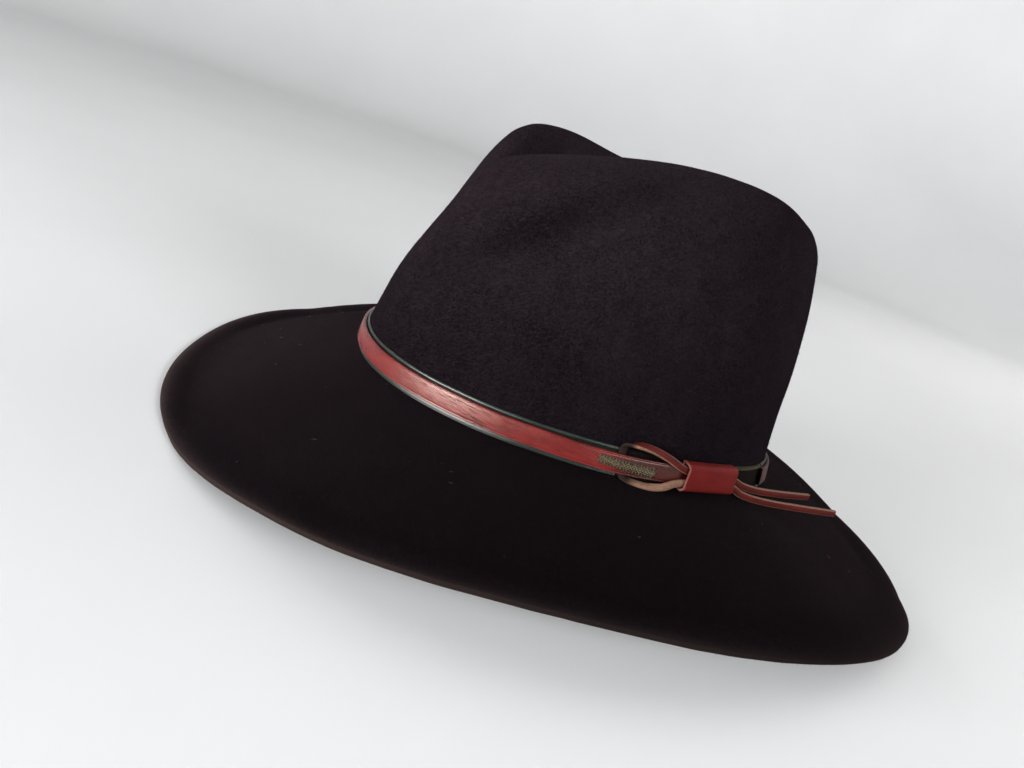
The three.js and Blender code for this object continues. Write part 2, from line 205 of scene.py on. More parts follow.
# The strap from its edge to its middle: share of the half width, and depth below the face. A line is
# pressed in beside the edge.
STRAP_SECTION = table(
    "reach sink",
    (1, 0.62),
    (0.985, 0.2),
    (0.95, 0.04),
    (0.88, 0),
    (0.825, 0.16),
    (0.77, 0),
    (0.68, -0.02),
    (0.54, -0.04),
    (0.4, -0.06),
    (0.26, -0.07),
    (0.12, -0.08),
)
STRAP_BEVEL = dict(reach=0.95, rise=0.25)

# Wear and painted shade. The band is a dull seam from the thong's loop to the strap's shown end, drawn
# darker there as a painted shade, and band and strap are matt from there on round the rear. The strap's
# creases gather at one turn. The strap is darker at its shown end and where it is matt, and inside the
# thong's loop a painted shadow darkens it.
SEAM_FROM, SEAM_OVERLAP = 99.0, 0.5
MATT_TO, MATT_FADE = 178.0, 34.0
CREASES = dict(turn=65, spread=14, least=0.25)
SHADE_AND_DARKENING = dict(end=0.85, end_fade=6, matt=0.78, loop=0.72, loop_fade=(95, 102))

# The keeper's ends flare and their cut faces swell. Its front end is bowed to the rear at half its height.
KEEPER_FLARE = np.array([0.04, 0.09])
KEEPER_FRONT = dict(flare=1.0, fade=1.1, swell=0.25)
KEEPER_REAR = dict(flare=0.35, fade=1.2, swell=0.18)
KEEPER_BOW = 0.9

# The thong on the crown, from the keeper's rear end, round behind the strap and back. depth goes from 0
# behind the strap to 1 on its face, and lean turns the thong's face from straight out over upwards.
THONG = table(
    "turn height depth lean",
    (130, 9.6, 1, 0),
    (122.5, 10.4, 1, 0),
    (114, 11.6, 1, 5),
    (109, 14.9, 1.05, 22),
    (105, 17, 1.08, 40),
    (101.8, 17.6, 1, 60),
    (99.8, 17, 0.75, 90),
    (98.9, 15.8, 0.35, 125),
    (98.7, 13.9, 0, 180),
    (98.8, 10.5, 0, 180),
    (99.4, 6, 0, 180),
    (100.3, 3.1, 0, 185),
    (101, 2.2, 0.25, 240),
    (102.6, 2, 0.65, 255),
    (106, 2, 1.1, 252),
    (109.2, 2.9, 1.22, 215),
    (112.5, 5.1, 1.02, 184),
    (115, 6, 1, 180),
    (122.5, 6.2, 1, 180),
    (130, 6.3, 1, 180),
)
TAILS = dict(
    upper=dict(length=50, spread=8, sag=4.8),
    lower=dict(length=63, spread=14, sag=5),
)
THONG_CORNER = dict(across=0.22, out=0.352, swell=1.06)
THONG_WAVER = dict(share=0.05, span=2.1, shift=3.3)
# A painted shadow on the thong behind the strap, counted in rows of THONG back from where its side changes.
THONG_SHADOW = dict(start=(12.6, 11.9), end=(4.4, 5.6))

# The field with a tooled pattern on the strap: heights at its front end and its rear end.
TOOLING = dict(
    turn_from=93.8, turn_to=107.2, low=(6.9, 4.6), high=(10.2, 9.2), lozenges=9, lozenge_share=0.62,
    lozenge_width=0.48, eye=0.34, bead=0.22, side_bead=1.15, line=0.3, crown_radius=93.0, standoff=0.1,
    dot_corners=8,
)
# How far the field's dark ground fades at its ends, in degrees, and at its sides: out of it and into it.
FIELD_END_FADE, FIELD_SIDE_FADE = (0.5, 0.3), (0.7, 0.3)

# The overcast stitches along the band's top edge, behind the keeper. Each goes from its root over a crest
# to its tip: shift in degrees, rise above the edge, and standoff.
STITCHES = dict(after_keeper=0.6, before_end=0.8, pitch=0.62, sides=6, radii=(0.1, 0.2, 0.22, 0.2, 0.1))
STITCH_PATH = (
    (0, -1.9, GAP + BAND_THICKNESS + 0.05),
    (0.18, -0.7, GAP + BAND_THICKNESS + 0.5),
    (0.35, 0.1, GAP + BAND_THICKNESS * 0.6),
)

# Colours and finish of the leather and the felt
TOOLED_GROUND = (0.013, 0.0062, 0.0036)
# Tones of the painted shade in the creases and of the painted shadow and darkening, how much matt adds to
# roughness, and the creases' slant in degrees.
CREASE_SHADE, DARKENING_TONE, MATT_GAIN, CREASE_SLANT = 0.22, 0.12, 0.5, 6
FELT_DARK, FELT_LIGHT = (0.0022, 0.0014, 0.0019), (0.0140, 0.0100, 0.0122)
FELT_MEAN = (0.0075, 0.0056, 0.0068)
# Brown of the painted warm bounce light on the brim's rim.
RIM_BOUNCE_BROWN = (0.0190, 0.0132, 0.0115)

# Stage and lights, in metres and watts. Each light shines at LIGHT_TARGET from its direction.
FLOOR_GREY, WALL_GREY, GREY_HEIGHT = (0.63, 0.63, 0.632), (0.80, 0.80, 0.802), 0.7
FLOOR_FLAT, FLOOR_BEND, WALL_HEIGHT, FLOOR_STEPS = 1.7, 0.8, 1.4, 96
# Rings on the flat part of the floor, as shares of it, and on its bend, in degrees.
FLOOR_RINGS, BEND_ANGLES = (0, 0.2, 0.5, 0.8, 1), range(6, 91, 6)
LIGHT_TARGET = Vector((0, 0, 0.06))
LIGHTS = table(
    "name direction distance size power color",
    ("window", (0.57, -0.82, 0.10), 1.6, (0.85, 0.46), 65, (0.98, 0.99, 1.0)),
    ("side_window", (0.74, 0.66, 0.38), 1.7, (0.9, 0.45), 23, (0.98, 0.99, 1.0)),
    ("back_window", (-0.42, 0.88, 0.5), 1.8, (1.2, 0.8), 12, (1.0, 0.99, 0.98)),
    ("ceiling", (-0.25, -0.1, 1.0), 1.7, (1.8, 1.8), 4.5, (1.0, 0.99, 0.97)),
)
SKY_COLOR, SKY_STRENGTH = (0.97, 0.98, 1.0), 0.22

# The camera looks at the middle of the head opening from this direction, rolled to its left, and is then
# turned so that this point lies off the middle of the picture by AIM_OFFSET pixels.
CAMERA_AZIMUTH, CAMERA_ELEVATION, CAMERA_ROLL = -9.14, 17.81, 20.94
CAMERA_DISTANCE = 411.8
PICTURE_WIDTH, FOCAL_LENGTH = 1024, 830
AIM_OFFSET = (51.1, 15.0)
SENSOR_WIDTH = 36.0
CLIP_START, CLIP_END = 0.01, 20


def both_sides(rows):
    """Both sides of a table that lists one side from the front to the rear."""
    return rows + rows[-2:0:-1]


def spline(rows, column, place, closed=False):
    """Value of a column at a place counted in rows, on a smooth curve through the rows."""
    values = np.array([row[column] for row in rows], float)
    count = len(values)
    place = np.asarray(place, float)
    first = np.floor(place).astype(int)
    if not closed:
        first = np.clip(first, 0, count - 2)
    t = place - first

    def value(step):
        index = first + step
        if closed:
            return values[index % count]
        inside = values[np.clip(index, 0, count - 1)]
        before = 2 * values[0] - values[1]
        after = 2 * values[-1] - values[-2]
        return np.where(index < 0, before, np.where(index >= count, after, inside))

    a, b, c, d = value(-1), value(0), value(1), value(2)
    return b + 0.5 * t * (c - a + t * (2 * a - 5 * b + 4 * c - d + t * (3 * (b - c) + d - a)))


def around(rows, column, turn):
    """Value of a column of a table that goes once round the hat, at a turn in degrees."""
    return spline(rows, column, np.asarray(turn, float) / 360 * len(rows), closed=True)


def split_places(rows, split):
    """Places along a table, split times as close as its rows."""
    return np.linspace(0, len(rows) - 1, (len(rows) - 1) * split + 1)


BRIM_ROUND = both_sides(BRIM)
DENT_BOTTOM_ROUND = both_sides(DENT_BOTTOM)


def smooth(value, low, high):
    """A soft change from 0 at low to 1 at high. High may be the smaller of the two."""
    t = np.clip((np.asarray(value, float) - low) / (high - low), 0, 1)
    return t * t * (3 - 2 * t)


def mix(a, b, share):
    return a + (b - a) * share


def bell(distance, spread):
    """A bell curve: 1 at no distance, 0.37 at the spread and nearly 0 at twice the spread."""
    return np.exp(-((distance / spread) ** 2))


def unit(vectors):
    return vectors / np.linalg.norm(vectors, axis=-1, keepdims=True)


def once_round(count):
    """Angles evenly once round, in degrees."""
    return np.arange(count) / count * 360


def foot(turn):
    """Foot of the crown, in the middle of the felt's thickness."""
    a = np.radians(turn)
    rise = around(BRIM_ROUND, "rise", turn)
    return np.stack([FOOT_HALF_WIDTH * np.sin(a), -FOOT_HALF_LENGTH * np.cos(a), rise], -1)


def outward(turn):
    """Level direction straight out from the crown's foot."""
    a = np.radians(turn)
    return unit(np.stack([np.sin(a) / FOOT_HALF_WIDTH, -np.cos(a) / FOOT_HALF_LENGTH, 0 * a], -1))


def ridge(turn):
    return np.stack([around(RIDGE, axis, turn) for axis in "xyz"], -1)


def dent_bottom(turn):
    a = np.radians(turn)
    y = DENT_MIDDLE - DENT_HALF_LENGTH * np.cos(a)
    return np.stack([DENT_HALF_WIDTH * np.sin(a), y, around(DENT_BOTTOM_ROUND, "z", turn)], -1)


def brim_rows(turn):
    """Rows of points from the brim's edge to just before the break."""
    width = around(BRIM_ROUND, "width", turn)
    droop = np.radians(around(BRIM_ROUND, "droop", turn))
    curl = np.radians(around(BRIM_ROUND, "curl", turn))
    flat = width - CURL_WIDTH
    step = width / BRIM_STEPS
    out = outward(turn)
    point = foot(turn)
    rows = []
    for k in range(BRIM_STEPS):
        along = (k + 0.5) * step
        growth = 1 + DROOP_GROWTH * (2 * smooth(along / flat, 0, 1) - 1)
        bend = smooth((along - flat) / (CURL_BEND * CURL_WIDTH), 0, 1)
        slope = droop * growth - curl * bend
        point = point + out * (step * np.cos(slope))[:, None]
        point[:, 2] -= step * np.sin(slope)
        rows.append(point)
    return rows[::-1]


def from_front(turn):
    """Angle from the front, whichever way round, in degrees."""
    return np.degrees(np.arccos(np.cos(np.radians(turn))))


def in_spot(spot, turn, rise):
    """How far a place lies in a round spot on each side of the crown: 1 in its middle, 0 far off."""
    off = from_front(turn) - spot["turn"]
    across = off / spot["turn_spread"]
    up = (rise - spot["rise"] - spot["slant"] * off) / spot["rise_spread"]
    return np.exp(-across**2 - up**2)


WALL_PARTS = ("front", "side", "back")
WALL_FINE = {
    column: spline(WALL, column, np.linspace(0, len(WALL) - 1, WALL_FINE_STEPS))
    for column in ("rise", *WALL_PARTS)
}


def wall_point(turn, rise):
    """Point of the crown's wall at a share of its height."""
    turn = np.asarray(turn, float)
    rises = WALL_FINE["rise"]
    at_front, at_side, at_back = (np.interp(rise, rises, WALL_FINE[part]) for part in WALL_PARTS)
    cosine = np.cos(np.radians(turn))
    front = np.maximum(cosine, 0) ** 2
    back = np.maximum(-cosine, 0) ** 2
    way = at_front * front + at_back * back + at_side * (1 - front - back)
    low, high = foot(turn), ridge(turn)
    point = mix(low, high, way[..., None])
    point[..., 2] = mix(low[..., 2], high[..., 2], rise)
    pinch = PINCH["depth"] * in_spot(PINCH, turn, rise)
    return point - outward(turn) * pinch[..., None]


def dent_rows(turn):
    """Rows of points from just inside the ridge to the dent's bottom line."""
    high, low = ridge(turn), dent_bottom(turn)
    places = split_places(DENT, DENT_SPLIT)[1:]
    rows = []
    for inward, fall in zip(spline(DENT, "inward", places), spline(DENT, "fall", places)):
        point = mix(high, low, inward)
        point[:, 2] = mix(high[:, 2], low[:, 2], fall)
        rows.append(point)
    return rows


def on_crown(turn, height, standoff):
    """Point at a height and a standoff, near the foot of the crown."""
    turn = np.asarray(turn, float)
    rise = height / (ridge(turn)[..., 2] - foot(turn)[..., 2])
    reach = np.asarray(FELT / 2 + standoff, float)
    return wall_point(turn, rise) + outward(turn) * reach[..., None]


def trim_rise(turn):
    """How far the strap and the keeper rise towards the keeper's rear end."""
    return TRIM_RISE * smooth(turn, TRIM_RISE_FROM, TRIM_RISE_TO)


def new_object(name, data):
    """An object linked to the scene."""
    made = bpy.data.objects.new(name, data)
    bpy.context.scene.collection.objects.link(made)
    return made


def new_mesh(name, points, faces, materials):
    """A smooth-shaded mesh with its materials."""
    mesh = bpy.data.meshes.new(name)
    mesh.from_pydata(points, [], faces)
    for material in materials:
        mesh.materials.append(material)
    mesh.polygons.foreach_set("use_smooth", np.ones(len(mesh.polygons), bool))
    return mesh


def new_piece(name, points, faces, materials, face_materials=None, uvs=None):
    """A mesh object from points in millimetres, made in metres in the frame's own place."""
    points = (np.asarray(points).reshape(-1, 3) + HAT_PLACE) * MM
    mesh = new_mesh(name, points.tolist(), [list(face) for face in faces], materials)
    if face_materials is not None:
        mesh.polygons.foreach_set("material_index", np.asarray(face_materials, np.int32))
    if uvs is not None:
        corners = np.zeros(len(mesh.loops), np.int32)
        mesh.loops.foreach_get("vertex_index", corners)
        layer = mesh.uv_layers.new(name="length_and_height")
        layer.data.foreach_set("uv", (uvs.reshape(-1, 2)[corners] * MM).astype(np.float32).ravel())
    mesh.update()
    piece = new_object(name, mesh)
    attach(piece, "root")
    return piece


def add_values(piece, name, values):
    """A number for each point of a piece, or for each row of points, which its material reads by name."""
    values = np.asarray(values, np.float32).ravel()
    layer = piece.data.attributes.new(name, "FLOAT", "POINT")
    layer.data.foreach_set("value", np.repeat(values, len(piece.data.vertices) // len(values)))


def grid_faces(rows, columns, ring=False):
    """Quads between rows of points that each go once round. In a ring the last row meets the first."""
    i, k = np.meshgrid(np.arange(rows if ring else rows - 1), np.arange(columns), indexing="ij")
    i, k = i.ravel(), k.ravel()
    near, far = i * columns, (i + 1) % rows * columns
    after = (k + 1) % columns
    return np.stack([near + k, near + after, far + after, far + k], -1)


# Materials


class Shader:
    """A material with a Principled shader and short calls for the nodes that feed it."""

    def __init__(self, name, color, roughness):
        self.material = bpy.data.materials.new(name)
        self.material.use_nodes = True
        self.tree = self.material.node_tree
        self.surface = self.tree.nodes["Principled BSDF"]
        self.set("Base Color", (*color, 1))
        self.set("Roughness", roughness)

    def set(self, socket, value):
        self.surface.inputs[socket].default_value = value

    def node(self, kind, links=(), **settings):
        node = self.tree.nodes.new("ShaderNode" + kind)
        for key, value in settings.items():
            setattr(node, key, value)
        for socket, source in dict(links).items():
            if isinstance(source, bpy.types.NodeSocket):
                self.tree.links.new(source, node.inputs[socket])
            else:
                node.inputs[socket].default_value = source
        return node

    def place(self, coordinates="Object", scale=(1, 1, 1), turned=(0, 0, 0)):
        """Coordinates that are first turned, by angles in degrees, and then scaled."""
        source = self.node("TexCoord").outputs[coordinates]
        angles = tuple(math.radians(angle) for angle in turned)
        source = self.node("Mapping", {"Vector": source, "Rotation": angles}).outputs["Vector"]
        return self.node("Mapping", {"Vector": source, "Scale": scale}).outputs["Vector"]

    def grain(self, place, scale, detail=3.0, roughness=0.6, distortion=0.0):
        links = {"Vector": place, "Scale": scale, "Detail": detail, "Roughness": roughness}
        links["Distortion"] = distortion
        return self.node("TexNoise", links).outputs["Fac"]

    def attribute(self, name):
        return self.node("Attribute", attribute_name=name).outputs["Fac"]

    def scaled(self, color, share):
        """A colour made lighter or darker by a share."""
        links = {0: color, "Scale": share}
        return self.node("VectorMath", links, operation="SCALE").outputs[0]

    def span(self, value, low, high, to_low=0.0, to_high=1.0):
        """A value taken from one span to another, and held at its ends."""
        links = {"Value": value, "From Min": low, "From Max": high, "To Min": to_low, "To Max": to_high}
        return self.node("MapRange", links).outputs["Result"]

    def combine(self, a, b, operation="ADD"):
        return self.node("Math", {0: a, 1: b}, operation=operation).outputs[0]

    def blend(self, share, a, b):
        """A colour between two, by a share. The numbers are the Mix node's own sockets for colours."""
        node = self.node("Mix", data_type="RGBA")
        for index, value in ((0, share), (6, a), (7, b)):
            if isinstance(value, bpy.types.NodeSocket):
                self.tree.links.new(value, node.inputs[index])
            else:
                node.inputs[index].default_value = value if index == 0 else (*value, 1)
        return node.outputs[2]

    def bump(self, height, distance, strength=1.0, under=None):
        links = {"Height": height, "Distance": distance, "Strength": strength}
        if under is not None:
            links["Normal"] = under
        return self.node("Bump", links).outputs["Normal"]

    def feed(self, socket, source):
        self.tree.links.new(source, self.surface.inputs[socket])


def toned(color, share):
    """A plain colour made lighter or darker by a share."""
    return tuple(share * part for part in color)


def felt_material():
    """Black wool felt: matted fibres that lie every way, cloudy shade and a faint sheen."""
    felt = Shader("felt_black", FELT_MEAN, 0.95)
    place = felt.place()
    clouds = felt.grain(place, scale=34, roughness=0.55, distortion=0.3)
    mottled = felt.grain(place, scale=210, distortion=0.5)
    matted = None
    for turned in ((20, 0, 35), (0, 50, -40), (70, 25, 0)):
        lengthwise = felt.place("Object", (300, 1250, 1250), turned)
        strands = felt.grain(lengthwise, scale=1, distortion=0.4)
        strands = felt.span(strands, 0.48, 0.7)
        matted = strands if matted is None else felt.combine(matted, strands, "MAXIMUM")
    fibres = felt.grain(place, scale=2600, detail=2, roughness=0.8, distortion=1.2)
    slow = felt.combine(felt.span(clouds, 0.32, 0.68, 0, 0.2), felt.span(mottled, 0.3, 0.7, 0, 0.16))
    shade = felt.combine(slow, felt.span(matted, 0, 1, 0, 0.64))
    color = felt.blend(shade, FELT_DARK, FELT_LIGHT)
    # A painted warm bounce light, brown, on the brim's edge and faintly over the brim.
    color = felt.blend(felt.attribute("rim"), color, RIM_BOUNCE_BROWN)
    # The colour is scaled by the felt's painted light and shade.
    felt.feed("Base Color", felt.scaled(color, felt.attribute("painted_light_and_shade")))
    felt.feed("Roughness", felt.span(shade, 0, 1, 0.86, 1.0))
    coarse = felt.bump(mottled, distance=0.0006, strength=0.35)
    coarse = felt.bump(matted, distance=0.00022, strength=0.8, under=coarse)
    felt.feed("Normal", felt.bump(fibres, distance=0.00015, strength=0.7, under=coarse))
    felt.set("Specular IOR Level", 0.0)
    felt.set("Sheen Weight", 0.012)
    felt.set("Sheen Roughness", 0.5)
    felt.set("Sheen Tint", (0.95, 0.70, 0.84, 1))
    return felt.material


def plain_fibre(name, color):
    """Fibre or thread of one colour, a little uneven."""
    fibre = Shader(name, color, 0.8)
    shade = fibre.span(fibre.grain(fibre.place(), scale=300), 0.3, 0.7)
    fibre.feed("Base Color", fibre.blend(shade, toned(color, 0.7), toned(color, 1.3)))
    fibre.set("Specular IOR Level", 0.1)
    return fibre.material


def leather_material(name, dark, light, roughness, creases, shine, tint=(1, 0.82, 0.71)):
    """Dyed leather with fine pores and creases that run along its length, drawn in length and height.

    creases is their strength, or "mask" where the piece gives its own as the value crease_mask.
    """
    leather = Shader(name, light, roughness)
    pores = leather.grain(leather.place("UV"), scale=2600)
    patches = leather.grain(leather.place("UV", (60, 160, 1)), scale=1)

    def streaks(scale, distortion):
        slanting = leather.place("UV", scale, (0, 0, CREASE_SLANT))
        return leather.grain(slanting, scale=1, detail=2, roughness=0.5, distortion=distortion)

    lengthwise, crossing = streaks((70, 1150, 1), 0.15), streaks((170, 520, 1), 0.3)
    off_line = leather.combine(lengthwise, 0.5, "SUBTRACT")
    off_line = leather.node("Math", {0: off_line}, operation="ABSOLUTE").outputs[0]
    crease = leather.span(off_line, 0.035, 0.006)
    cut = leather.combine(crease, leather.span(crossing, 0.47, 0.6), "MULTIPLY")
    if creases == "mask":
        creases = leather.attribute("crease_mask")
    cut = leather.combine(cut, creases, "MULTIPLY")
    color = leather.blend(leather.span(patches, 0.3, 0.7), dark, light)
    color = leather.scaled(color, leather.span(pores, 0.25, 0.75, 0.72, 1.28))
    # Crease lines are drawn darker: a painted shade in the creases.
    color = leather.blend(cut, color, toned(dark, CREASE_SHADE))
    color = leather.blend(leather.attribute("tooled"), color, TOOLED_GROUND)
    # Darker where the piece asks: a painted shadow inside the thong's loop and on the thong behind the
    # strap, and darker at the strap's shown end and where it is matt.
    color = leather.blend(leather.attribute("shade_and_darkening"), color, toned(dark, DARKENING_TONE))
    leather.feed("Base Color", color)
    uneven = leather.span(pores, 0.3, 0.7, -0.05, 0.05)
    rough = leather.span(patches, 0.3, 0.7, roughness - 0.06, roughness + 0.08)
    rough = leather.combine(rough, uneven)
    matt = leather.combine(leather.attribute("matt"), MATT_GAIN, "MULTIPLY")
    leather.feed("Roughness", leather.combine(rough, matt))
    relief = leather.bump(pores, distance=0.00012, strength=0.7)
    raised = leather.combine(1.0, cut, "SUBTRACT")
    leather.feed("Normal", leather.bump(raised, distance=0.00014, strength=0.6, under=relief))
    leather.set("Specular IOR Level", shine)
    leather.set("Specular Tint", (*tint, 1))
    return leather.material


def cut_leather_material(name, dark, light):
    """The pale raw edge or flesh side of leather, fibrous and ribbed across by the knife."""
    raw = Shader(name, light, 0.85)
    fibres = raw.grain(raw.place("UV", (700, 2600, 1)), scale=1, roughness=0.7, distortion=0.5)
    ribs = {"Vector": raw.place("UV"), "Scale": 330, "Distortion": 2.5, "Detail": 3}
    ribbed = raw.node("TexWave", ribs).outputs["Fac"]
    shade = raw.combine(raw.span(fibres, 0.3, 0.7, 0, 0.7), raw.span(ribbed, 0, 1, 0, 0.3))
    color = raw.blend(shade, dark, light)
    # Darker where the piece asks: a painted shadow on the thong behind the strap.
    raw.feed("Base Color", raw.blend(raw.attribute("shade_and_darkening"), color, toned(dark, DARKENING_TONE)))
    fibrous = raw.bump(fibres, distance=0.0002, strength=0.8)
    raw.feed("Normal", raw.bump(ribbed, distance=0.00012, strength=0.35, under=fibrous))
    raw.set("Specular IOR Level", 0.15)
    return raw.material


def foil_material():
    """Dull olive gold pressed into the leather and partly rubbed off."""
    foil = Shader("tooling_foil", (0.075, 0.064, 0.034), 0.45)
    rubbed = foil.span(foil.grain(foil.place(), scale=1500), 0.5, 0.66)
    foil.feed("Base Color", foil.blend(rubbed, (0.105, 0.089, 0.047), TOOLED_GROUND))
    foil.feed("Roughness", foil.span(rubbed, 0, 1, 0.4, 0.65))
    foil.feed("Normal", foil.bump(rubbed, distance=0.0001, strength=0.6))
    foil.set("Metallic", 0.2)
    foil.set("Specular IOR Level", 0.25)
    return foil.material


def stage_material():
    """Pale paper, a little darker on the floor than on the wall."""
    stage = Shader("studio_paper", WALL_GREY, 0.9)
    height = stage.node("SeparateXYZ", {"Vector": stage.place()}).outputs["Z"]
    cloud = stage.span(stage.grain(stage.place(), scale=3, detail=2), 0.3, 0.7, 0.98, 1.02)
    paper = stage.blend(stage.span(height, 0.0, GREY_HEIGHT), FLOOR_GREY, WALL_GREY)
    stage.feed("Base Color", stage.scaled(paper, cloud))
    return stage.material


FELT_BLACK = felt_material()
NAP_BLACK = plain_fibre("felt_fibres", (0.010, 0.0071, 0.0088))
LINT_PALE = plain_fibre("lint_fibres", (0.13, 0.10, 0.105))
BAND_GREEN = leather_material(
    "band_green_black", dark=(0.0035, 0.0060, 0.0048), light=(0.0070, 0.0108, 0.0085),
    roughness=0.33, creases=0.3, shine=0.42, tint=(1, 0.97, 0.92),
)
STRAP_RED = leather_material(
    "strap_red", dark=(0.064, 0.0042, 0.0040), light=(0.104, 0.0070, 0.0066),
    roughness=0.28, creases="mask", shine=0.43,
)
KEEPER_RED = leather_material(
    "keeper_red", dark=(0.062, 0.0038, 0.0037), light=(0.102, 0.0076, 0.0068),
    roughness=0.6, creases=0.4, shine=0.07,
)
KEEPER_EDGE = cut_leather_material(
    "keeper_cut_edge", dark=(0.060, 0.018, 0.015), light=(0.170, 0.060, 0.048)
)
THONG_RED = leather_material(
    "thong_red", dark=(0.036, 0.0040, 0.0036), light=(0.070, 0.0082, 0.0074),
    roughness=0.6, creases=0.4, shine=0.08,
)
RAW_CREAM = cut_leather_material(
    "leather_cut_edge", dark=(0.070, 0.033, 0.020), light=(0.185, 0.105, 0.070)
)
# The band's seam: duller, and drawn darker as a painted shade inside the thong's loop and behind the
# keeper.
BAND_SEAM_SHADED = leather_material(
    "band_seam_shaded", dark=(0.0030, 0.0022, 0.0021), light=(0.0070, 0.0052, 0.0050),
    roughness=0.85, creases=0.3, shine=0.02,
)
# Darker, matt leather for the cut face of the strap's shown end.
STRAP_END = leather_material(
    "strap_end_darker", dark=(0.018, 0.0052, 0.0044), light=(0.040, 0.0110, 0.0092),
    roughness=0.8, creases=0.4, shine=0.03,
)
THREAD_OLIVE = plain_fibre("band_thread", (0.055, 0.048, 0.031))
FOIL = foil_material()


# Felt


def felt_rows(turn):
    """Middle surface of the felt: rows from the brim's edge to the dent's bottom, each once round."""
    rises = spline(WALL, "rise", split_places(WALL, WALL_SPLIT))
    wall = [wall_point(turn, np.full(len(turn), min(rise, 1.0))) for rise in rises]
    rows = np.array(brim_rows(turn) + wall + dent_rows(turn))
    first, last = BRIM_STEPS - BREAK_ROWS, BRIM_STEPS + BREAK_ROWS + 1
    for _ in range(BREAK_PASSES):
        beside = rows[first - 1 : last - 1] + rows[first + 1 : last + 1]
        rows[first:last] = 0.5 * rows[first:last] + 0.25 * beside
    return rows


def normals_of(rows):
    inward = np.gradient(rows, axis=0)
    along = np.roll(rows, -1, axis=1) - np.roll(rows, 1, axis=1)
    return unit(np.cross(along, inward))


def unevenness(points):
    """Slow hand-made unevenness of the felt, in millimetres."""
    return np.array([
        [sum(wave["size"] * noise.noise(Vector(p) / wave["span"]) for wave in UNEVEN) for p in row]
        for row in points
    ])


def painted_light_and_shade(turn, rows):
    """Painted light and shade on the felt, as a share of its colour at each point."""
    off = from_front(turn)
    rise = (rows[..., 2] - foot(turn)[:, 2]) / (ridge(turn)[:, 2] - foot(turn)[:, 2])
    index = np.arange(len(rows))[:, None]
    on_wall = index < WALL_END
    # Painted shade: an arch over each pinch, darker low on the crown, on the brim by the turn, and a valley
    # by the edge.
    arch_shade = ARCH_SHADE["share"] * in_spot(ARCH_SHADE, turn, rise) * on_wall
    on_crown_low = LOW_SHADE["share"] * smooth(rise, LOW_SHADE["below_rise"], 0) * on_wall
    low_shade = np.where(index < BRIM_STEPS, LOW_SHADE["share"], on_crown_low)
    brim_shade = np.interp(off, BRIM_SHADE["turn"], BRIM_SHADE["share"]) * smooth(index, *BRIM_FADE)
    valley_shade = VALLEY_SHADE["share"] * bell(index - VALLEY_SHADE["row"], VALLEY_SHADE["spread"])
    # Painted light on the brim's edge, less at the rear, partly the raw cut felt's own lightness, and in
    # the dent.
    at_rear = mix(EDGE_LIGHT["at_rear"], 1, smooth(off, *EDGE_LIGHT["rear_fade"]))
    edge = EDGE_LIGHT["gain"] * bell(index, EDGE_LIGHT["rows"]) * at_rear
    dent_light = DENT_LIGHT["gain"] * smooth(index, WALL_END, WALL_END + DENT_LIGHT["rows"])
    return (1 - arch_shade) * (1 - low_shade) * (1 - brim_shade) * (1 - valley_shade) * (1 + edge) * (1 + dent_light)


def cut_edge(rows, normal):
    """Rings round the brim's cut edge, from the top to the underside, none of them below the floor."""
    out = unit(rows[0] - rows[1])
    rings = []
    for degrees in EDGE_ANGLES:
        angle = math.radians(degrees)
        across = math.copysign(abs(math.sin(angle)) ** EDGE_ROUNDNESS, angle) if degrees else 0.0
        swell = EDGE_SWELL * math.cos(angle) ** EDGE_ROUNDNESS
        ring = rows[0] + normal[0] * (across * FELT / 2) + out * swell
        lowest = FLOOR_HEIGHT + FELT * (0.5 + degrees / EDGE_FLATTENING)
        ring[:, 2] = np.maximum(ring[:, 2], lowest)
        rings.append(ring)
    return np.array(rings)


def dent_strips(last):
    """Strips from side to side that close the dent's bottom, above and, from the point last on, below."""
    strips = []
    for k in range(TURN_STEPS // 2):
        right = (TURN_STEPS - k) % TURN_STEPS
        corners = [k, k + 1, (right - 1) % TURN_STEPS, right]
        strip = list(dict.fromkeys(corners))
        strips.append(strip)
        strips.append([last + corner for corner in reversed(strip)])
    return strips


def felt_body():
    """Crown and brim in one wall of felt. Returns its upper and lower surface and their normals."""
    turn = once_round(TURN_STEPS)
    rows = felt_rows(turn)
    shade = painted_light_and_shade(turn, rows)
    normal = normals_of(rows)
    rows = rows + normal * unevenness(rows)[..., None]
    top = rows + normal * (FELT / 2)
    under = rows - normal * (FELT / 2)
    edge = cut_edge(rows, normal)
    top[..., 2] = np.maximum(top[..., 2], FLOOR_HEIGHT + FELT)
    under[..., 2] = np.maximum(under[..., 2], FLOOR_HEIGHT)
    rings = np.concatenate([top[::-1], edge, under])
    faces = grid_faces(len(rings), TURN_STEPS)[:, ::-1].tolist()
    faces += dent_strips((len(rings) - 1) * TURN_STEPS)
    piece = new_piece("felt_hat_body", rings, faces, [FELT_BLACK])
    # The painted light and shade of the felt, row by row, with the edge rings taking the edge's.
    shades = np.concatenate([shade[::-1], np.repeat(shade[:1], len(edge), axis=0), shade])
    add_values(piece, "painted_light_and_shade", shades)
    # A painted warm bounce light, brown: strongest on the brim's cut edge, faint over the rest of the brim.
    from_edge = np.abs(np.arange(len(rings)) - (len(top) + (len(edge) - 1) / 2))
    rim = EDGE_BOUNCE_SHARE * bell(np.maximum(from_edge - len(edge) / 2, 0), EDGE_LIGHT["rows"])
    rim = np.maximum(rim, BRIM_BOUNCE_SHARE * smooth(from_edge, *BRIM_FADE))
    add_values(piece, "rim", rim)
    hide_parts("felt_body")
    return top, under, normal


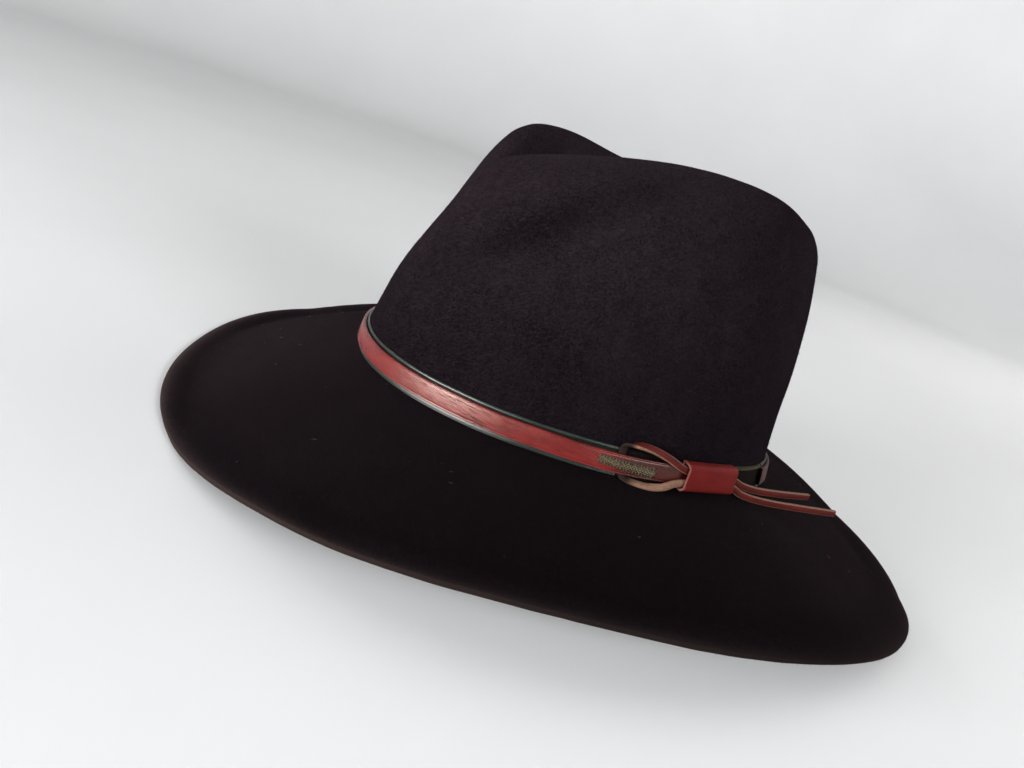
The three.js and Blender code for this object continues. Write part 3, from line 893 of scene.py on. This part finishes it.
def strands(name, roots, directions, lengths, curls, width, material):
    """Short curved fibres, each a ribbon of two lengths, joined into one mesh."""
    lengths = lengths[:, None]
    side = unit(np.cross(directions, curls)) * width / 2
    middle = roots + directions * (lengths * FIBRE["middle"])
    tip = roots + directions * (lengths * FIBRE["tip"]) + curls * (lengths * FIBRE["curl"])
    narrow = side * FIBRE["taper"]
    points = np.stack([roots - side, roots + side, middle - narrow, middle + narrow, tip], 1)
    base = np.arange(len(roots))[:, None] * points.shape[1]
    lower = (base + [0, 1, 3, 2]).tolist()
    upper = (base + [2, 3, 4]).tolist()
    return new_piece(name, points, lower + upper, [material])


def scattered(surface, normal, count, rng):
    """Places spread evenly over a surface given in rows, with the normals there."""
    a, b = surface[:-1], surface[1:]
    across = np.linalg.norm(np.roll(a, -1, axis=1) - a, axis=-1)
    area = (across * np.linalg.norm(b - a, axis=-1)).ravel()
    cell = rng.choice(len(area), count, p=area / area.sum())
    i, k = np.unravel_index(cell, a.shape[:2])
    u, v = rng.random(count)[:, None], rng.random(count)[:, None]
    after = (k + 1) % surface.shape[1]
    low = mix(surface[i, k], surface[i, after], u)
    high = mix(surface[i + 1, k], surface[i + 1, after], u)
    return mix(low, high, v), normal[i, k]


def felt_nap(top, under, normal):
    """Loose fibres over the crown, both faces of the brim and its cut edge."""
    rng = np.random.default_rng(SEED)
    over, over_normal = scattered(top, normal, NAP["above"], rng)
    on_brim = slice(0, BRIM_STEPS + 1)
    below, below_normal = scattered(under[on_brim], -normal[on_brim], NAP["below"], rng)
    edge = rng.integers(0, TURN_STEPS, NAP["edge"])
    along, across = rng.random((2, len(edge), 1))
    after = (edge + 1) % TURN_STEPS
    rim = mix(mix(top[0, edge], top[0, after], along), mix(under[0, edge], under[0, after], along), across)
    roots = np.concatenate([over, below, rim])
    up = np.concatenate([over_normal, below_normal, unit(top[0] - top[1])[edge]])
    sideways = unit(np.cross(up, rng.normal(size=up.shape)))
    directions = unit(up * rng.uniform(*NAP_RISE, (len(up), 1)) + sideways)
    curls = unit(np.cross(up, directions) * rng.choice([-1, 1], (len(up), 1)) + NAP_CURL_LIFT * up)
    lengths = rng.uniform(*NAP["length"], len(roots))
    roots = roots - up * NAP_SUNK
    piece = strands("felt_nap", roots, directions, lengths, curls, NAP["width"], NAP_BLACK)


def lint_specks(top, normal):
    """A few pale fibres that lie on the brim and the crown."""
    rng = np.random.default_rng(SEED + 1)
    shown = slice(0, LINT["rows"])
    roots, up = scattered(top[shown], normal[shown], LINT["count"], rng)
    sideways = unit(np.cross(up, rng.normal(size=up.shape)))
    curls = unit(np.cross(up, sideways) + LINT["curl_lift"] * up)
    lengths = rng.uniform(*LINT["length"], len(roots))
    roots = roots + up * LINT["standoff"]
    piece = strands("lint_specks", roots, sideways, lengths, curls, LINT["width"], LINT_PALE)


# Band, strap and keeper


def crown_sweep(turns, outlines):
    """Rows of points on the crown from outlines of heights and standoffs, one outline for each turn."""
    heights, standoffs = outlines[..., 0], outlines[..., 1]
    return on_crown(np.broadcast_to(turns[:, None], heights.shape), heights, standoffs)


def length_and_height(rows, round_section):
    """Texture places: the length along the middle of the rows, and the way round their section."""
    steps = np.linalg.norm(np.diff(rows.mean(axis=1), axis=0), axis=-1)
    lengths = np.concatenate([[0], np.cumsum(steps)])
    return np.stack(np.broadcast_arrays(lengths[:, None], round_section), -1)


def wavering(turns, profile, low, high, wavers):
    """A strip's outlines, one for each turn, from its profile between two heights and its edges' wavers."""
    edges = [
        [[size * noise.noise(Vector((turn / span, shift, 0.5)))] for turn in turns]
        for size, span, shift in (waver.values() for waver in wavers)
    ]
    outlines = np.repeat(profile[None], len(turns), axis=0)
    outlines[..., 0] += mix(*np.array(edges), (profile[:, 0] - low) / (high - low))
    return outlines


def matt_share(turns):
    """How matt the leather is, from the strap's shown end on round the rear."""
    return smooth(turns, MATT_TO + MATT_FADE, MATT_TO) * (turns >= STRAP_SHOWN_END)


def band_profile():
    """The band's section in heights and standoffs, from its top edge down its face and up its back."""
    roll = BAND_ROLL[-1]["inset"]
    face_high = BAND_HIGH - roll - BAND_FACE["below_roll"]
    face_low = BAND_LOW + roll * LOW_ROLL_WIDTH + BAND_FACE["above_roll"]
    top = [(BAND_HIGH - row["inset"], row["full"]) for row in BAND_ROLL]
    face = [(height, BAND_FACE["full"]) for height in np.linspace(face_high, face_low, BAND_FACE["points"])]
    low = [(BAND_LOW + row["inset"] * LOW_ROLL_WIDTH, row["full"] * LOW_ROLL_FULL) for row in BAND_ROLL]
    outline = [(height, GAP + BAND_THICKNESS * full) for height, full in top + face + low[::-1]]
    profile = np.array(outline + [(BAND_LOW + BAND_BEVEL, GAP), (BAND_HIGH - BAND_BEVEL, GAP)])
    profile[:, 1] += BAND_FLARE * smooth(profile[:, 0], BAND_FLARE_FROM, BAND_LOW) * (profile[:, 1] > GAP)
    return profile


def under_band():
    """Dark leather band with rolled edges, closed round the crown."""
    turns = once_round(BAND_STEPS)
    outlines = wavering(turns, band_profile(), BAND_LOW, BAND_HIGH, BAND_WAVER)
    rows = crown_sweep(turns, outlines)
    faces = grid_faces(*rows.shape[:2], ring=True)
    face_turns = np.repeat(turns, rows.shape[1])
    # From the thong's loop to the strap's shown end the band is duller and drawn darker, a painted shade.
    seam = (face_turns > SEAM_FROM) & (face_turns < STRAP_SHOWN_END + SEAM_OVERLAP)
    uvs = length_and_height(rows, outlines.sum(axis=-1))
    finishes = [BAND_GREEN, BAND_SEAM_SHADED]
    piece = new_piece("under_band_leather", rows, faces, finishes, seam, uvs)
    add_values(piece, "matt", matt_share(turns))
    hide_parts("under_band")


def strap_standoff(turns):
    return ON_BAND + STRAP_LIFT * smooth(turns, STRAP_LIFT_FROM, STRAP_LIFT_TO)


def capped_strip(rows):
    """Faces of a strip swept through rows, with a face over its start and then one over its end."""
    steps, count = rows.shape[:2]
    last = (steps - 1) * count
    caps = [list(range(count))[::-1], list(range(last, last + count))]
    return grid_faces(steps, count).tolist() + caps


def strap_profile():
    """The strap's section in heights and standoffs, from its top edge down its face and up its back."""
    half = (STRAP_HIGH - STRAP_LOW) / 2
    middle = (STRAP_HIGH + STRAP_LOW) / 2
    face = [(half * row["reach"], STRAP_THICKNESS - row["sink"]) for row in STRAP_SECTION]
    back = [(half * STRAP_BEVEL["reach"], 0.0), (half, STRAP_BEVEL["rise"])]
    upper = [(middle + reach, standoff) for reach, standoff in face]
    lower = [(middle - reach, standoff) for reach, standoff in face[::-1]]
    back_low = [(middle - reach, standoff) for reach, standoff in back[::-1]]
    back_high = [(middle + reach, standoff) for reach, standoff in back]
    return np.array(upper + lower + back_low + back_high)


def tooled_field(turn):
    """Middle height and half the height of the tooled field on the strap."""
    share = (turn - TOOLING["turn_from"]) / (TOOLING["turn_to"] - TOOLING["turn_from"])
    share = np.clip(share, 0, 1)
    low, high = mix(*TOOLING["low"], share), mix(*TOOLING["high"], share)
    return (low + high) / 2, (high - low) / 2


def tooled_share(turns, heights):
    """How much of the tooled field's dark ground the strap shows at each turn and height."""
    middle, half = tooled_field(turns)
    out, into = FIELD_END_FADE
    ends = smooth(turns, TOOLING["turn_from"] - out, TOOLING["turn_from"] + into)
    ends = ends * smooth(turns, TOOLING["turn_to"] + out, TOOLING["turn_to"] - into)
    out, into = FIELD_SIDE_FADE
    inside = smooth(np.abs(heights - middle[:, None]), (half + out)[:, None], (half - into)[:, None])
    return inside * ends[:, None]


def strap():
    """Red leather strap with rounded edges and a pressed line along each edge."""
    start = STRAP_SHOWN_END - 360
    turns = np.linspace(start, STRAP_HIDDEN_END, STRAP_STEPS + 1)
    outlines = wavering(turns, strap_profile(), STRAP_LOW, STRAP_HIGH, STRAP_WAVER)
    heights = outlines[..., 0].copy()
    outlines[..., 0] += trim_rise(turns)[:, None]
    outlines[..., 1] += strap_standoff(turns)[:, None]
    rows = crown_sweep(turns, outlines)
    faces = capped_strip(rows)
    start_cap = len(faces) - 2
    # The cap over the strap's shown end takes the darker, matt leather.
    end_cap = np.arange(len(faces)) == start_cap
    uvs = length_and_height(rows, outlines.sum(axis=-1))
    piece = new_piece("strap_leather", rows, faces, [STRAP_RED, STRAP_END], end_cap, uvs)
    creased = mix(CREASES["least"], 1, bell(turns - CREASES["turn"], CREASES["spread"]))
    matt = matt_share(turns + 360)
    # Darker at the shown end and where matt; a painted shadow inside the thong's loop.
    at_end = SHADE_AND_DARKENING["end"] * smooth(turns, start + SHADE_AND_DARKENING["end_fade"], start)
    loop_shadow = SHADE_AND_DARKENING["loop"] * smooth(turns, *SHADE_AND_DARKENING["loop_fade"])
    shade_and_darkening = np.maximum(np.maximum(at_end, SHADE_AND_DARKENING["matt"] * matt), loop_shadow)
    add_values(piece, "crease_mask", creased)
    add_values(piece, "tooled", tooled_share(turns, heights))
    add_values(piece, "matt", matt)
    add_values(piece, "shade_and_darkening", shade_and_darkening)
    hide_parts("leather_strap")


def rounded_box(low, high, near, far, radius):
    """Outline of a box with round corners: heights and standoffs, from the top over the far side."""
    corners = [
        (high - radius, near + radius, 0),
        (high - radius, far - radius, 90),
        (low + radius, far - radius, 180),
        (low + radius, near + radius, 270),
    ]
    outline = []
    for height, standoff, start in corners:
        for angle in np.radians(np.linspace(start - 90, start, KEEPER_CORNER_POINTS)):
            outline.append((height + radius * math.cos(angle), standoff + radius * math.sin(angle)))
    return np.array(outline)


def keeper():
    """Leather sleeve round the strap and both legs of the thong, with pale cut ends."""
    low, high, wall = KEEPER_LOW, KEEPER_HIGH, KEEPER_WALL
    near, far = ON_BAND, ON_STRAP + THONG_THICKNESS + GAP + KEEPER_WALL
    outside = rounded_box(low, high, near, far, KEEPER_RADIUS_OUTSIDE)
    inside = rounded_box(low + wall, high - wall, near + wall, far - wall, KEEPER_RADIUS_INSIDE)
    middle = (outside + inside) / 2
    center = [(low + high) / 2, (near + far) / 2]
    height = (outside[:, 0] - low) / (high - low)
    bow = KEEPER_BOW * (1 - (2 * height - 1) ** 2)

    def ring(outline, turn, flare):
        place = outline + (outline - center) * KEEPER_FLARE * flare
        place[:, 1] = np.maximum(place[:, 1], near)
        front = smooth(turn, KEEPER_TO, KEEPER_FROM)
        return on_crown(turn + bow * front, place[:, 0] + trim_rise(turn), place[:, 1])

    def flare_at(turn):
        front = KEEPER_FRONT["flare"] * np.exp(-(turn - KEEPER_FROM) / KEEPER_FRONT["fade"])
        rear = KEEPER_REAR["flare"] * np.exp(-(KEEPER_TO - turn) / KEEPER_REAR["fade"])
        return float(front + rear)

    body = np.linspace(KEEPER_FROM, KEEPER_TO, KEEPER_ROWS)
    rings = [ring(outside, turn, flare_at(turn)) for turn in body]
    rings.append(ring(middle, KEEPER_TO + KEEPER_REAR["swell"], KEEPER_REAR["flare"]))
    rings += [ring(inside, turn, flare_at(turn)) for turn in body[::-1]]
    rings.append(ring(middle, KEEPER_FROM - KEEPER_FRONT["swell"], KEEPER_FRONT["flare"]))
    rings = np.array(rings)
    total, count = rings.shape[:2]
    faces = grid_faces(total, count, ring=True)
    row = np.arange(total)
    on_wall = (row < KEEPER_ROWS - 1) | ((row > KEEPER_ROWS) & (row < 2 * KEEPER_ROWS))
    cut = np.repeat(~on_wall, count)
    uvs = length_and_height(rings, outside.sum(axis=-1))
    finishes = [KEEPER_RED, KEEPER_EDGE]
    piece = new_piece("keeper_leather", rings, faces, finishes, cut, uvs)
    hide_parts("keeper")


# Thong


def turned_level(vector, degrees):
    """A direction turned about the upright axis."""
    a = math.radians(degrees)
    x, y, z = vector
    return np.array([x * math.cos(a) - y * math.sin(a), x * math.sin(a) + y * math.cos(a), z])


def tail_stations(tail, start):
    """Stations of one free end, from the keeper outwards."""
    face = turned_level(start["face"], -tail["spread"])
    course = turned_level(face, 90)
    steps = round(tail["length"] / TAIL_STEP)
    stations = []
    for k in range(steps):
        distance = (k + 1) / steps * tail["length"]
        place = start["place"] + course * distance
        place[2] -= tail["sag"] * (1 - math.exp(-distance / TAIL_SAG_LENGTH))
        stations.append(dict(start, place=place, face=face))
    return stations


def thong_stations():
    """Stations from one free end to the other, and the station where the side that shows changes."""
    behind = ON_BAND + THONG_BACK_THICKNESS / 2
    before = ON_STRAP + THONG_THICKNESS / 2
    stations = [
        dict(
            place=on_crown(row["turn"], row["height"], mix(behind, before, row["depth"])),
            face=outward(row["turn"]),
            lean=math.radians(row["lean"]),
            thickness=mix(THONG_BACK_THICKNESS, THONG_THICKNESS, min(row["depth"], 1)),
        )
        for row in THONG
    ]
    upper = tail_stations(TAILS["upper"], stations[0])[::-1]
    lower = tail_stations(TAILS["lower"], stations[-1])
    return upper + stations + lower, len(upper) + len(THONG) - 2


def curve_through(points, places):
    """Points and directions on a smooth curve through points, evened by the distances between them."""
    points = np.array(points)
    ends = np.concatenate([[2 * points[0] - points[1]], points, [2 * points[-1] - points[-2]]])
    knots = np.concatenate([[0], np.cumsum(np.linalg.norm(np.diff(ends, axis=0), axis=1) ** 0.5)])
    found = []
    for place in places:
        first = min(int(place), len(points) - 2)
        p, t = ends[first : first + 4], knots[first : first + 4]
        x = mix(t[1], t[2], place - first)
        a = [mix(p[i], p[i + 1], (x - t[i]) / (t[i + 1] - t[i])) for i in range(3)]
        b = [mix(a[i], a[i + 1], (x - t[i]) / (t[i + 2] - t[i])) for i in range(2)]
        found.append(mix(b[0], b[1], (x - t[1]) / (t[2] - t[1])))
    found = np.array(found)
    return found, unit(np.gradient(found, axis=0))


def thong_section():
    """The thong's section in half widths across and half thicknesses out: back, edge, face, other edge."""
    wide, deep, swell = 1 - THONG_CORNER["across"], 1 - THONG_CORNER["out"], THONG_CORNER["swell"]
    side = [-wide, 0, wide, 1, 1, 1, wide, 0, -wide, -1, -1, -1]
    out = [-1, -swell, -1, -deep, 0, deep, 1, swell, 1, deep, 0, -deep]
    return np.array(side), np.array(out)


def thong():
    """The thong, red on its grain side, pale on its cut edges and its flesh side."""
    stations, flip_at = thong_stations()
    places = np.linspace(0, len(stations) - 1, THONG_STEPS + 1)
    middles, tangents = curve_through([station["place"] for station in stations], places)
    side, out = thong_section()
    count = len(side)
    rows = []
    for place, middle, tangent in zip(places, middles, tangents):
        first = min(int(place), len(stations) - 2)
        a, b, share = stations[first], stations[first + 1], place - first
        lean = mix(a["lean"], b["lean"], share)
        face = mix(a["face"], b["face"], share) * math.cos(lean) + np.array([0, 0, math.sin(lean)])
        across = unit(np.cross(face, tangent))
        face = np.cross(tangent, across)
        reach = mix(a["thickness"], b["thickness"], share) / 2
        waver = noise.noise(Vector((place * THONG_WAVER["span"], THONG_WAVER["shift"], 0)))
        half = THONG_WIDTH / 2 * (1 + THONG_WAVER["share"] * waver)
        rows.append(middle + across * (half * side)[:, None] + face * (reach * out)[:, None])
    rows = np.array(rows)
    faces = capped_strip(rows)
    grain_spans, flesh_spans = (6, 7), (0, 1)
    finish = []
    for place in places[:-1]:
        shown = flesh_spans if place >= flip_at else grain_spans
        finish += [0 if k in shown else 1 for k in range(count)]
    finish += [1, 1]
    round_section = side * THONG_WIDTH / 2 + out * THONG_THICKNESS / 2
    uvs = length_and_height(middles[:, None], round_section)
    finishes = [THONG_RED, RAW_CREAM]
    piece = new_piece("thong_leather", rows, faces, finishes, finish, uvs)
    # A painted shadow on the thong where it runs behind the strap.
    before_flip = flip_at - places
    dark = smooth(before_flip, *THONG_SHADOW["start"]) * smooth(before_flip, *THONG_SHADOW["end"])
    add_values(piece, "shade_and_darkening", dark)
    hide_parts("thong")


# Small trim


def strap_face(turn, height):
    """Point on the strap's face, a hair above the leather."""
    standoff = strap_standoff(turn) + STRAP_THICKNESS + TOOLING["standoff"]
    return on_crown(turn, height + trim_rise(turn), standoff)


def strap_tooling():
    """A generic row of lozenges between two rows of beads, pressed in a field that widens to the rear."""
    points, faces = [], []
    pitch = (TOOLING["turn_to"] - TOOLING["turn_from"]) / TOOLING["lozenges"]
    degree = math.radians(1) * TOOLING["crown_radius"]
    line = TOOLING["line"]

    def plate(outline):
        start = len(points)
        points.extend(strap_face(turn, height) for turn, height in outline)
        faces.append(list(range(start, len(points))))

    def dot(turn, height, radius):
        angles = np.radians(once_round(TOOLING["dot_corners"]))
        plate([(turn + radius * math.cos(a) / degree, height + radius * math.sin(a)) for a in angles])

    def bar(start, end):
        (t0, h0), (t1, h1) = start, end
        course = unit(np.array([(t1 - t0) * degree, h1 - h0]))
        across, rise = -course[1] * line / 2 / degree, course[0] * line / 2
        near = [(t0 - across, h0 - rise), (t1 - across, h1 - rise)]
        far = [(t1 + across, h1 + rise), (t0 + across, h0 + rise)]
        plate(near + far)

    for k in range(TOOLING["lozenges"]):
        turn = TOOLING["turn_from"] + (k + 0.5) * pitch
        middle, half = tooled_field(turn)
        tall, wide = half * TOOLING["lozenge_share"], pitch * TOOLING["lozenge_width"]
        tips = [(turn - wide, middle), (turn, middle + tall), (turn + wide, middle), (turn, middle - tall)]
        for a, b in zip(tips, tips[1:] + tips[:1]):
            bar(a, b)
        dot(turn, middle, tall * TOOLING["eye"])
        for side in (-1, 1):
            for shift in (-0.5, 0):
                dot(turn + shift * pitch, middle + side * (half - TOOLING["bead"]), TOOLING["bead"])
            dot(turn - 0.5 * pitch, middle + side * half * 0.5, TOOLING["bead"] * TOOLING["side_bead"])
    piece = new_piece("strap_tooling", points, faces, [FOIL])


def band_stitches():
    """Overcast stitches along the band's top edge, where its ends meet behind the keeper."""
    first, last = KEEPER_TO + STITCHES["after_keeper"], STRAP_SHOWN_END - STITCHES["before_end"]
    turns = np.arange(first, last, STITCHES["pitch"])
    sides = STITCHES["sides"]
    paths = [on_crown(turns + shift, BAND_HIGH + rise, standoff) for shift, rise, standoff in STITCH_PATH]
    points, faces = [], []
    for root, crest, tip in zip(*paths):
        course = unit(tip - root)
        side = unit(np.cross(course, crest - root))
        lift = np.cross(side, course)
        start = len(points)
        middles = (root, mix(root, crest, 0.6), crest, mix(crest, tip, 0.5), tip)
        for middle, radius in zip(middles, STITCHES["radii"]):
            for angle in np.radians(once_round(sides)):
                points.append(middle + (side * math.cos(angle) + lift * math.sin(angle)) * radius)
        faces += (grid_faces(len(middles), sides) + start).tolist()
    piece = new_piece("band_stitches", points, faces, [THREAD_OLIVE])


# Stage, light and camera


def studio_floor():
    """A pale floor that rises in a smooth curve into a wall all round."""
    profile = [(FLOOR_FLAT * share, 0) for share in FLOOR_RINGS]
    for angle in np.radians(BEND_ANGLES):
        profile.append((FLOOR_FLAT + FLOOR_BEND * math.sin(angle), FLOOR_BEND * (1 - math.cos(angle))))
    profile.append((FLOOR_FLAT + FLOOR_BEND, FLOOR_BEND + WALL_HEIGHT))
    angles = np.radians(once_round(FLOOR_STEPS))
    points = [(radius * math.cos(a), radius * math.sin(a), z) for radius, z in profile for a in angles]
    faces = grid_faces(len(profile), FLOOR_STEPS).tolist()
    floor = new_object("studio_floor", new_mesh("studio_floor", points, faces, [stage_material()]))


def soft_light(name, direction, distance, size, power, color):
    """A rectangular soft light, size[0] wide and size[1] high."""
    light = bpy.data.lights.new(name, "AREA")
    light.shape = "RECTANGLE"
    light.size, light.size_y = size
    light.energy = power
    light.color = color
    lamp = new_object(name, light)
    back = Vector(direction).normalized()
    lamp.location = LIGHT_TARGET + back * distance
    lamp.rotation_mode = "QUATERNION"
    lamp.rotation_quaternion = (-back).to_track_quat("-Z", "Y")
    lamp.visible_camera = False


def sky():
    world = bpy.data.worlds.new("studio_air")
    world.use_nodes = True
    background = world.node_tree.nodes["Background"]
    background.inputs["Color"].default_value = (*SKY_COLOR, 1)
    background.inputs["Strength"].default_value = SKY_STRENGTH
    bpy.context.scene.world = world


def camera():
    azimuth, elevation, roll = (math.radians(x) for x in (CAMERA_AZIMUTH, CAMERA_ELEVATION, CAMERA_ROLL))
    level = math.cos(elevation)
    back = Vector((level * math.cos(azimuth), level * math.sin(azimuth), math.sin(elevation)))
    right = (-back).cross(Vector((0, 0, 1))).normalized()
    up = right.cross(-back)
    rolled_right = right * math.cos(roll) + up * math.sin(roll)
    rolled_up = up * math.cos(roll) - right * math.sin(roll)
    aim = Vector((AIM_OFFSET[0], -AIM_OFFSET[1], -FOCAL_LENGTH)).normalized()
    turn = Vector((0, 0, -1)).rotation_difference(aim).to_matrix()
    axes = Matrix((rolled_right, rolled_up, back)).transposed() @ turn.transposed()
    data = bpy.data.cameras.new("camera")
    data.sensor_width = SENSOR_WIDTH
    data.lens = FOCAL_LENGTH * SENSOR_WIDTH / PICTURE_WIDTH
    data.clip_start, data.clip_end = CLIP_START, CLIP_END
    view = new_object("camera", data)
    place = (Vector(HAT_PLACE) + back * CAMERA_DISTANCE) * MM
    view.matrix_world = Matrix.Translation(place) @ axes.to_4x4()
    bpy.context.scene.camera = view


camera()
for light in LIGHTS:
    soft_light(**light)
sky()
studio_floor()
felt_top, felt_under, felt_normal = felt_body()
felt_nap(felt_top, felt_under, felt_normal)
lint_specks(felt_top, felt_normal)
under_band()
band_stitches()
strap()
strap_tooling()
keeper()
thong()
bpy.context.scene.view_settings.view_transform = "Standard"
